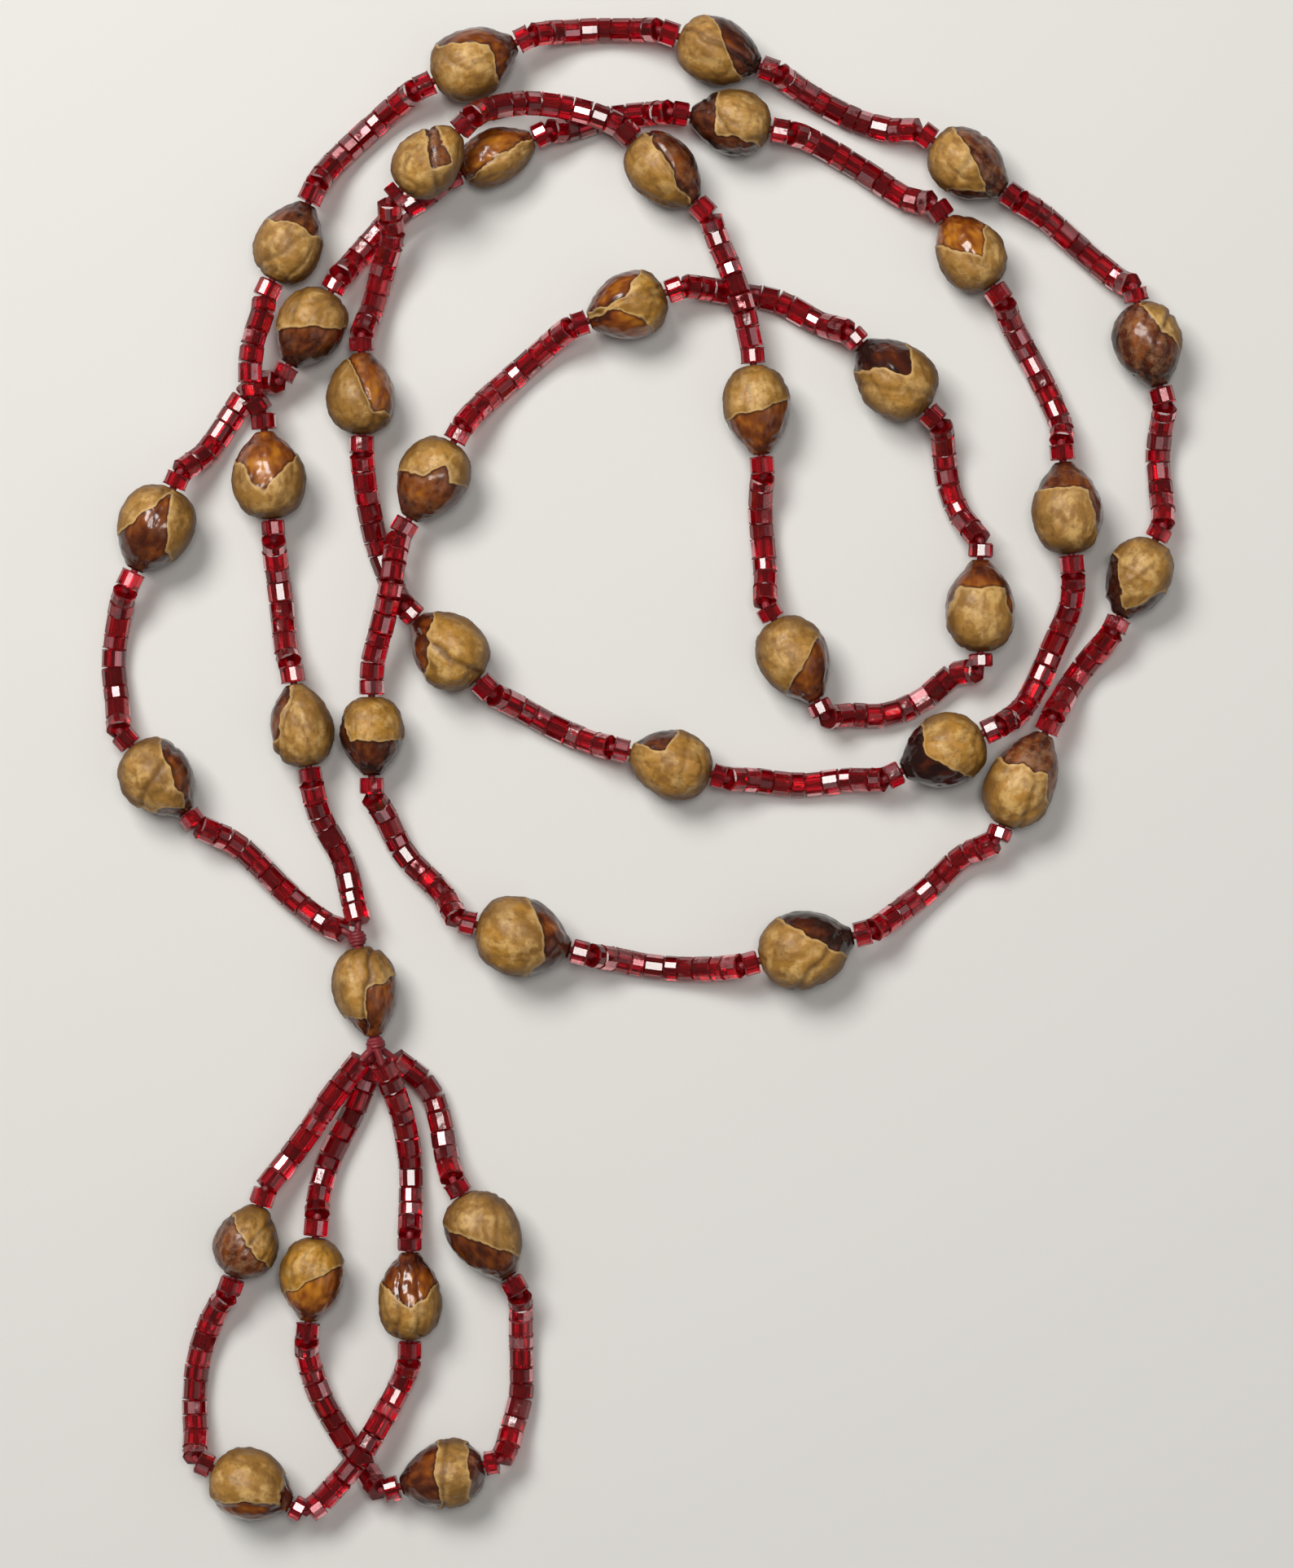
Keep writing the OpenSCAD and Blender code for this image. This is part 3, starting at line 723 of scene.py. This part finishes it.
def make_seed(number, name):
    tip, length, radius = SEED_SIZES[name]
    length, radius = length * MM, radius * MM
    middle, way = seed_place(name)
    bore_r = BUNDLE_R + 0.08 * MM if name == "connector_seed" else SEED_BORE_R
    patches, tone, gold, grey, creases = LOOKS[name]
    bm = seed_body(length, radius, bore_r)
    turn = (way * tip).to_track_quat("Z", "Y").to_matrix().to_4x4()
    bmesh.ops.transform(bm, verts=bm.verts, matrix=turn)
    mesh = bpy.data.meshes.new(name + "_body")
    for face in bm.faces:
        face.smooth = True
    bm.normal_update()
    bm.to_mesh(mesh)
    bm.free()

    count = len(mesh.vertices)
    co = np.empty(count * 3)
    mesh.vertices.foreach_get("co", co)
    co = co.reshape(-1, 3)
    out = np.empty(count * 3)
    mesh.vertex_normals.foreach_get("vector", out)
    out = out.reshape(-1, 3)
    axis = np.array(way * tip)
    along = co @ axis
    across = np.linalg.norm(co - along[:, None] * axis, axis=1)
    local = co / radius
    free = ease(across, SEED_BASE_R * 0.8, SEED_BASE_R * 1.9)

    lengthwise = local - np.outer(along / radius, axis) * 0.6
    jag = noise_at(local, 2.0, number) * 0.14 + noise_at(local, 7.0, number + 50) * 0.04
    inside = np.full(count, -9.0)
    for patch in patches:
        cuts = [flat_cut(local, angle, far) for angle, far in patch]
        inside = np.maximum(inside, np.min(cuts, axis=0))
    inside = inside + jag
    bare = ease(inside, -0.03, 0.03)

    # Low folds run lengthwise on the coat, and the bare shell is smoother
    folds = np.clip(1 - 4 * np.abs(noise_at(lengthwise, 1.5, number + 150)), 0, 1) ** 2
    fine = np.clip(1 - 4 * np.abs(noise_at(lengthwise, 3.4, number + 200)), 0, 1) ** 2
    streak = noise_at(lengthwise, 4.5, number + 350) + 0.6 * noise_at(lengthwise, 10.0, number + 400)
    dents = noise_at(local, 1.3, number + 100)
    # How high a point sits on the seed, for painted light: lighter on top, shaded below
    painted_top_light = ease(local[:, 2] + 0.35 * dents, 0.10, 0.92)
    creased = np.zeros(count)
    for angle, far, depth in creases:
        gap = flat_cut(local, angle, far) + 0.14 * noise_at(local, 1.7, number + 300)
        creased += depth * np.exp(-(gap / CREASE_WIDTH) ** 2) * (local[:, 2] > -0.3)
    sink = LOBES * (0.5 + 0.5 * dents) + bare * LIP
    sink += WRINKLE * (folds * 0.40 + fine * 0.15) * (1 - bare * 0.6)
    sink += WRINKLE * 0.25 * noise_at(local, 6.0, number + 250)
    sink += CREASE * 0.45 * creased
    sink = np.clip(sink, -RAISED_MOST, SUNK_MOST)
    # How deep a point lies in a fold or crease, for the painted shade there
    crease_shade = np.clip(0.16 * folds + 0.06 * fine + 1.6 * np.clip(creased, 0, 1), 0, 1) * free
    co = co - out * (sink * free)[:, None] + np.array(middle)
    mesh.vertices.foreach_set("co", co.ravel())

    for key, values in (
        ("shell_inside", inside), ("shell_tone", np.full(count, tone)),
        ("coat_gold", np.full(count, gold)), ("shell_grey", np.full(count, grey)),
        ("shell_crease_shade", crease_shade), ("shell_streak", streak), ("shell_painted_top_light", painted_top_light),
    ):
        mesh.attributes.new(key, "FLOAT", "POINT").data.foreach_set("value", values.astype(np.float32))
    mesh.materials.append(SEED)
    mesh.update()
    piece = bpy.data.objects.new(name + "_body", mesh)
    bpy.context.collection.objects.link(piece)
    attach(piece, name)
    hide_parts(name)
    return piece


made_seeds = [make_seed(number, name) for number, name in enumerate(SEED_SIZES, 1)]
print("seeds", len(made_seeds), "faces each", len(made_seeds[0].data.polygons))

# %% [markdown]
# ## The glass beads' finish
# The beads are ruby glass with a thin metallic lustre on some of their flats, whose pale pink is
# partly a painted glint. The shader lets light through, and each bead is a little lighter or
# deeper than the next. Each flat carries its own number, which decides whether it has the lustre.
# The broken ends, whose number is below zero, have none and are less polished, and they are
# painted a deeper red as painted shade in the gaps between beads.

# %% Glass material


def glass_finish():
    made = Finish("ruby_lustre_glass")
    flat = made.attribute("flat_number")
    depth = made.attribute("bead_depth")
    smear = made.noise(1500.0, 3.0)
    side = flat.step(-0.6, -0.4)
    # Lustre on some flats, its pale pink partly a painted glint
    lustre_and_glint = (flat + (smear - 0.5) * 0.22).step(0.84, 0.91)
    ruby = depth.mix((0.76, 0.006, 0.022), (0.42, 0.002, 0.010))
    colour = (lustre_and_glint * 0.8).mix(ruby, (1.0, 0.50, 0.54))
    made.set(
        # Painted shade: the ends are a deeper red, for the shaded gaps between beads
        Base_Color=side.mix((0.46, 0.003, 0.010), colour),
        Roughness=smear * 0.08 + 0.03 + (1 - side) * 0.15 + lustre_and_glint * 0.2,
        Metallic=lustre_and_glint * 0.5,
        Transmission_Weight=0.93,
        IOR=1.5,
        Coat_Weight=side * (lustre_and_glint * 0.6 + 0.3),
        Coat_Roughness=0.05,
    )
    made.bump(made.noise(800.0, 2.0), 0.00004, 0.4)
    return made.material


GLASS = glass_finish()
print(GLASS.name)

# %% [markdown]
# ## One glass bead
# A bead is a short length of six-sided tube with its sharp ends broken. We spin a small closed
# section in six steps, which gives the flats and the hole in one go. Then we cut the long edges
# back until the bead is nearly round. It is repeated hundreds of times, so it has few faces.

# %% Bead shape
BEAD_R = 1.31 * MM
BEAD_BORE_R = 0.38 * MM
BEAD_GAP = 0.02 * MM
BROKEN_END = 0.15 * MM
CORNER_CUT = 0.38 * MM
FLATS = 6
CROWDING = 0.28  # share of a bend that shortens its beads
THINNEST = 0.95  # share of the radius that the thinnest bead has
THICKER = 0.05  # how much more the thickest one has
LEAN_DEGREES = 3.5
END_FACING = 0.4  # a face that looks this much along the thread is an end
END_NUMBER = -1


def bead_shape(length, radius):
    bm = bmesh.new()
    half = length / 2
    section = [
        (BEAD_BORE_R, -half), (radius - BROKEN_END, -half), (radius, -half + BROKEN_END),
        (radius, half - BROKEN_END), (radius - BROKEN_END, half), (BEAD_BORE_R, half),
    ]
    line = [bm.verts.new((r, 0, z)) for r, z in section]
    edges = [bm.edges.new((a, b)) for a, b in zip(line, line[1:] + line[:1])]
    bmesh.ops.spin(
        bm, geom=line + edges, cent=(0, 0, 0), axis=(0, 0, 1), angle=2 * math.pi,
        steps=FLATS, use_merge=True,
    )
    bmesh.ops.remove_doubles(bm, verts=bm.verts, dist=1e-7)
    bmesh.ops.recalc_face_normals(bm, faces=bm.faces)
    long_edges = [
        e for e in bm.edges
        if abs(abs(e.verts[0].co.z - e.verts[1].co.z) - (length - 2 * BROKEN_END)) < 1e-8
    ]
    bmesh.ops.bevel(
        bm, geom=long_edges, offset=CORNER_CUT, segments=1, profile=0.5,
        affect="EDGES", material=-1,
    )
    return bm


sample = bead_shape(0.0015, BEAD_R)
print("bead", len(sample.faces), "faces")
sample.free()

# %% [markdown]
# ## Threading the beads
# Each bead sits between two places on the curve, turned by its own amount and a hair out of line,
# as cut beads are. All the beads of a stretch join into one piece, because they share a body.

# %% Bead pieces


def chance(*numbers):
    """A number from 0 to 1 that is always the same for the same place."""
    value = math.sin(sum(n * m for n, m in zip(numbers, (12.9898, 78.233, 37.719)))) * 43758.5453
    return value - math.floor(value)


def half_turn(p, q, r):
    cosine = (q - p).normalized().dot((r - q).normalized())
    return math.sqrt(max(0, 1 - cosine) / (1 + cosine))


def add_beads(whole, strand, k, key):
    places = stations(strand, k)
    last = len(places) - 2
    flat_layer = whole.faces.layers.float["flat_number"]
    depth_layer = whole.faces.layers.float["bead_depth"]
    for i, (a, b) in enumerate(zip(places, places[1:])):
        way = (b - a).normalized()
        before = 0 if i == 0 else half_turn(places[i - 1], a, b)
        after = 0 if i == last else half_turn(a, b, places[i + 2])
        length = (b - a).length - BEAD_GAP - BEAD_R * CROWDING * (before + after)
        radius = BEAD_R * (THINNEST + THICKER * chance(i, k, key))
        part = bead_shape(length, radius)
        tilt = math.radians(LEAN_DEGREES * (chance(i, k, key + 1) - 0.5))
        lean = Matrix.Rotation(tilt, 4, "X")
        turn = Matrix.Rotation(math.tau * chance(i, k, key + 2), 4, "Z")
        middle = (a + b) / 2 + way * BEAD_R * CROWDING * (before - after) / 2
        place = Matrix.Translation(middle) @ way.to_track_quat("Z", "Y").to_matrix().to_4x4()
        bmesh.ops.transform(part, verts=part.verts, matrix=place @ lean @ turn)
        copy = bpy.data.meshes.new("bead")
        part.to_mesh(copy)
        part.free()
        done = len(whole.faces)
        whole.from_mesh(copy)
        bpy.data.meshes.remove(copy)
        whole.faces.ensure_lookup_table()
        depth = chance(i, k, key + 3)
        for n in range(done, len(whole.faces)):
            face = whole.faces[n]
            end = abs(face.normal.dot(way)) > END_FACING
            face[flat_layer] = END_NUMBER if end else chance(i, k * 7 + n - done, key + 4)
            face[depth_layer] = depth
    return len(places) - 1


def bead_piece(node, body, strand, stretches, key):
    whole = bmesh.new()
    whole.faces.layers.float.new("flat_number")
    whole.faces.layers.float.new("bead_depth")
    count = sum(add_beads(whole, strand, k, key) for k in stretches)
    mesh = bpy.data.meshes.new(node + "_cut")
    whole.to_mesh(mesh)
    whole.free()
    mesh.materials.append(GLASS)
    piece = bpy.data.objects.new(node + "_cut", mesh)
    bpy.context.collection.objects.link(piece)
    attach(piece, body)
    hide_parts(node)
    return count


counts = [
    bead_piece(f"glass_beads_{n:02d}", "strand", MAIN, (2 * n - 2, 2 * n - 1), 0.5)
    for n in range(1, len(MAIN_BENDS) // 2 + 1)
]
loop_counts = [
    bead_piece("lower_loop_beads", "lower_loop", LOWER, range(4), 1.5),
    bead_piece("upper_loop_beads", "upper_loop", UPPER, range(4), 2.5),
]
print("beads on the strand", sum(counts), "on the loops", loop_counts)

# %% [markdown]
# ## Floor and light
# A plain pale floor takes the soft shadows. One broad light stands above, towards the far left, a
# small one hangs nearly overhead, and a wide weak one fills from the other side, so the glossy
# shells and the cut glass have something to mirror. The room itself gives a faint warm light.

# %% Floor
FLOOR_SIZE = 3.0


def floor_finish():
    made = Finish("pale_floor")
    made.set(Base_Color=(0.60, 0.595, 0.58), Roughness=0.9, Specular_IOR_Level=0.15)
    return made.material


floor_bm = bmesh.new()
bmesh.ops.create_grid(floor_bm, x_segments=1, y_segments=1, size=FLOOR_SIZE)
floor_mesh = bpy.data.meshes.new("floor")
floor_bm.to_mesh(floor_mesh)
floor_bm.free()
floor_mesh.materials.append(floor_finish())
floor = bpy.data.objects.new("floor", floor_mesh)
bpy.context.collection.objects.link(floor)
print("floor", FLOOR_SIZE)

# %% Lights


def soft_light(name, place, size, power, colour=(1, 1, 1)):
    data = bpy.data.lights.new(name, "AREA")
    data.shape, data.size, data.size_y = "RECTANGLE", size[0], size[1]
    data.energy, data.color = power, colour
    light = bpy.data.objects.new(name, data)
    light.location = place
    light.rotation_euler = (-Vector(place)).to_track_quat("-Z", "Y").to_euler()
    bpy.context.collection.objects.link(light)


soft_light("window_light", (-0.22, 0.28, 0.50), (0.30, 0.22), 3.7, (1.0, 0.98, 0.95))
soft_light("ceiling_light", (0.04, 0.06, 0.62), (0.16, 0.16), 1.25, (1.0, 0.97, 0.93))
soft_light("fill_light", (0.40, -0.15, 0.45), (0.5, 0.5), 0.35, (0.95, 0.97, 1.0))
world = bpy.data.worlds.new("soft_room")
bpy.context.scene.world = world
world.use_nodes = True
room = world.node_tree.nodes["Background"].inputs
room["Color"].default_value = (1.0, 0.98, 0.94, 1)
room["Strength"].default_value = 0.13
bpy.context.scene.view_settings.view_transform = "Standard"
print("lights set")
